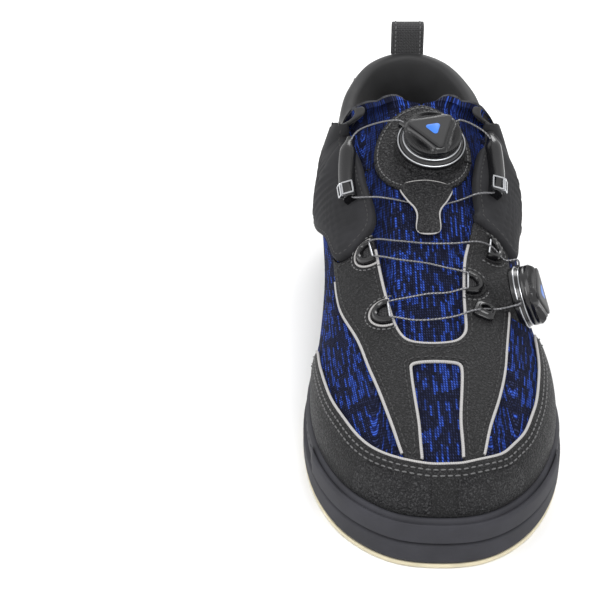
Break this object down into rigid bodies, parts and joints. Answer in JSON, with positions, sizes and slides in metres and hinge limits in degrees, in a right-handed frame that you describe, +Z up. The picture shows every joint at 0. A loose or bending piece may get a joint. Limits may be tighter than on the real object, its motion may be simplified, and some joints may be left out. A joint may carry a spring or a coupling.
{
  "type": "bowling shoe",
  "caption": "Low bowling shoe for the left foot: knit upper with leather and moulded panels, two twist dials with lacing wire, and changeable slide and brake pads.",
  "frame": {"origin": "middle of the footprint, on the plane the shoe stands on", "axes": "-Y towards the toe, +X towards the outer side of the foot, +Z up"},
  "size_m": [0.1108, 0.3026, 0.1186],
  "materials": {
    "knit": "close knit, matt, dark navy with blue flecks",
    "leather": "crumpled grain, soft sheen",
    "wing": "matt moulded, ribbed",
    "sole": "matt moulded",
    "slide": "brushed microfibre",
    "brake": "fine ribbed",
    "foam": "soft foam under textile",
    "lining": "fine spacer mesh",
    "board": "pressed fibre board",
    "hook": "hook tape",
    "steel": "fine brushed",
    "wire": "coated stranded wire",
    "dial_gloss": "moulded gloss",
    "dial_matte": "fine spark texture",
    "webbing": "flat webbing"
  },
  "bodies": {
    "shoe": {"slide_pad": "slide", "heel_brake_pad": "brake", "forefoot_hook_field": "hook", "heel_hook_field": "hook", "outsole_cup": "sole", "toe_bumper": "sole", "midsole": "foam", "collar_foam": "foam", "shank": "steel", "insole_board": "board", "toe_puff": "board", "heel_counter": "board", "sockliner": "lining", "vamp_lining": "lining", "quarter_lining": "lining", "tongue_lining": "lining", "knit_upper": "knit", "tongue": "knit", "vamp_overlay": "leather", "toe_cap": "leather", "heel_overlay": "leather", "dial_patch": "leather", "patch_tail": "leather", "medial_wing": "wing", "lateral_wing": "wing", "loop_tab": "webbing", "main_lace_wire": "wire", "side_lace_wire": "wire", "main_dial_seat": "dial_matte", "side_dial_seat": "dial_matte", "main_dial_base": "dial_gloss", "main_dial_housing": "dial_gloss", "main_dial_ratchet_ring": "steel", "main_dial_screw": "steel", "side_dial_base": "dial_gloss", "side_dial_housing": "dial_gloss", "side_dial_ratchet_ring": "steel", "side_dial_screw": "steel", "medial_hood_guide": "dial_gloss", "lateral_hood_guide": "dial_gloss", "medial_upper_loop_guide": "dial_gloss", "medial_lower_loop_guide": "dial_gloss", "lateral_upper_loop_guide": "dial_gloss", "lateral_middle_loop_guide": "dial_gloss", "lateral_lower_loop_guide": "dial_gloss"},
    "main_dial_lift": {"main_dial_pop_sleeve": "steel"},
    "main_dial_turn": {"main_dial_knob": "dial_gloss", "main_dial_pawl_ring": "dial_gloss", "main_dial_top_plate": "dial_matte"},
    "main_dial_reel": {"main_dial_spool": "dial_matte"},
    "side_dial_lift": {"side_dial_pop_sleeve": "steel"},
    "side_dial_turn": {"side_dial_knob": "dial_gloss", "side_dial_pawl_ring": "dial_gloss", "side_dial_top_plate": "dial_matte"},
    "side_dial_reel": {"side_dial_spool": "dial_matte"},
    "loop": {"pull_loop": "webbing"}
  },
  "joints": [
    {"name": "main_dial_pop", "type": "slide", "parent": "shoe", "child": "main_dial_lift", "axis": [0.0502, -0.4019, 0.9143], "range_m": [0, 0.0022]},
    {"name": "main_dial_knob_turn", "type": "hinge", "parent": "main_dial_lift", "child": "main_dial_turn", "pos_m": [0.0035, 0.03116, 0.1006], "axis": [0.0502, -0.4019, 0.9143], "continuous": true},
    {"name": "main_dial_spool_turn", "type": "hinge", "parent": "shoe", "child": "main_dial_reel", "pos_m": [0.0035, 0.03116, 0.1006], "axis": [0.0502, -0.4019, 0.9143], "continuous": true},
    {"name": "side_dial_pop", "type": "slide", "parent": "shoe", "child": "side_dial_lift", "axis": [0.9252, -0.12, 0.3601], "range_m": [0, 0.0022]},
    {"name": "side_dial_knob_turn", "type": "hinge", "parent": "side_dial_lift", "child": "side_dial_turn", "pos_m": [0.03858, -0.03515, 0.0564], "axis": [0.9252, -0.12, 0.3601], "continuous": true},
    {"name": "side_dial_spool_turn", "type": "hinge", "parent": "shoe", "child": "side_dial_reel", "pos_m": [0.03858, -0.03515, 0.0564], "axis": [0.9252, -0.12, 0.3601], "continuous": true},
    {"name": "pull_loop_fold", "type": "hinge", "parent": "shoe", "child": "loop", "pos_m": [-0.00082, 0.15075, 0.1], "axis": [-1, 0, 0], "range_deg": [0, 75]}
  ],
  "couplings": [
    {"joint": "main_dial_spool_turn", "follows": "main_dial_knob_turn", "ratio": 1},
    {"joint": "side_dial_spool_turn", "follows": "side_dial_knob_turn", "ratio": 1}
  ]
}
